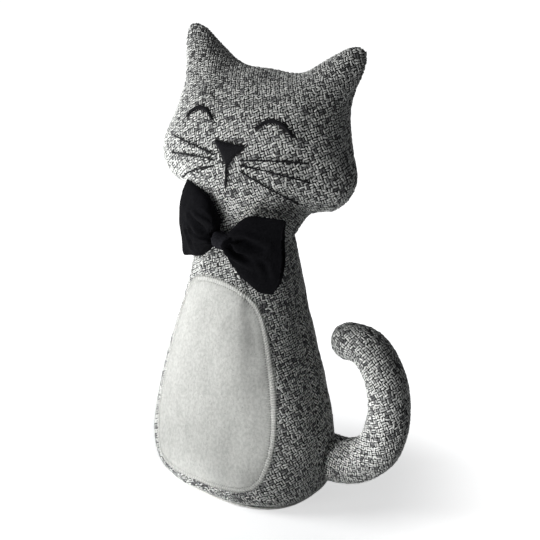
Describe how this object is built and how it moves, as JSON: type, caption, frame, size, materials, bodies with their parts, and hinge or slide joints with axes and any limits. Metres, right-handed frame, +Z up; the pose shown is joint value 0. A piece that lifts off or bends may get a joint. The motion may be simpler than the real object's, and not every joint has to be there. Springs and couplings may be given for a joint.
{
  "type": "cat door stop",
  "caption": "Weighted fabric door stop in the form of a sitting cat, with a pale belly patch, an embroidered face, a bow tie and a curled tail.",
  "frame": {"origin": "centre of the base panel's flat underside, on the floor under the torso's axis", "axes": "+Z up, the cat faces -Y, and +X is the cat's left, where the tail is"},
  "size_m": [0.2078, 0.1024, 0.3295],
  "materials": {
    "tweed": "chunky salt-and-pepper tweed, matt",
    "felted_cloth": "pale felted wool cloth with a short nap",
    "black_cotton": "fine plain cotton, soft matt",
    "black_thread": "satin-stitched embroidery thread, slight sheen",
    "base_cloth": "the same tweed, pulled flat over the ballast"
  },
  "bodies": {
    "root": {"base_panel": "base_cloth", "stuffed_body": "tweed", "tail": "tweed", "belly_patch": "felted_cloth", "bow_cloth": "black_cotton", "bow_knot": "black_cotton", "nose": "black_thread", "mouth": "black_thread", "eye_left": "black_thread", "eye_right": "black_thread", "whisker_left_upper": "black_thread", "whisker_left_middle": "black_thread", "whisker_left_lower": "black_thread", "whisker_right_upper": "black_thread", "whisker_right_middle": "black_thread", "whisker_right_lower": "black_thread"}
  },
  "joints": []
}
